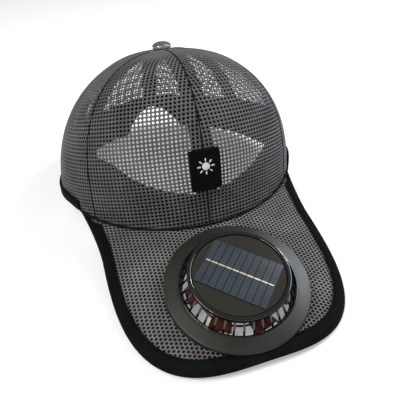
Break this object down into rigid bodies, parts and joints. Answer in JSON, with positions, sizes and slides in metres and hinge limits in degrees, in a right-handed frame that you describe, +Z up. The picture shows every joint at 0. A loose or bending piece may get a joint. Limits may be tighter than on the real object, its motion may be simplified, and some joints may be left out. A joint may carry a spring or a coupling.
{
  "type": "solar fan hat",
  "caption": "Net baseball-style cap with a long curved peak; a small solar-powered fan sits in a round hole of the peak under a ribbed ring.",
  "frame": {"origin": "on the table, under the middle of the resting hat's box", "axes": "+Z up, the peak towards -Y, +X to the right for someone who looks along +Y"},
  "size_m": [0.1898, 0.2802, 0.1123],
  "materials": {
    "net": "coarse open grey net",
    "tape": "matt woven black",
    "binding": "matt woven black",
    "button": "satin grey under net",
    "rubber": "matt black",
    "peak_net": "grey net over a dark lining",
    "flange": "matt dark grey",
    "gloss": "glossy black",
    "disc": "glossy dark olive",
    "cell": "smooth slate blue-grey",
    "silver": "pale satin",
    "can": "satin",
    "blades": "dark red-brown, translucent look"
  },
  "bodies": {
    "hat": {"panel_front_left": "net", "panel_front_right": "net", "panel_side_left": "net", "panel_side_right": "net", "panel_rear_left": "net", "panel_rear_right": "net", "tape_front": "tape", "tape_front_side_left": "tape", "tape_front_side_right": "tape", "tape_rear_side_left": "tape", "tape_rear_side_right": "tape", "tape_rear": "tape", "sweatband": "tape", "rim_binding": "binding", "crown_button": "button", "label_patch": "rubber", "peak": "peak_net", "peak_binding": "binding", "fan_flange": "flange", "rib_ring": "gloss", "hub_cap": "gloss", "solar_disc": "disc", "solar_cell_01": "cell", "solar_cell_02": "cell", "solar_cell_03": "cell", "solar_cell_04": "cell", "solar_cell_05": "cell", "solar_cell_06": "cell", "solar_cell_07": "cell", "solar_cell_08": "cell", "solar_cell_09": "cell", "solar_cell_10": "cell", "busbar": "silver", "motor_can": "can", "guard_grille": "gloss"},
    "rotor": {"fan_rotor": "blades", "motor_shaft": "can"}
  },
  "joints": [
    {"name": "fan_spin", "type": "hinge", "parent": "hat", "child": "rotor", "pos_m": [0, -0.09174, 0.01327], "axis": [0, -0.1496, 0.9887], "continuous": true}
  ]
}
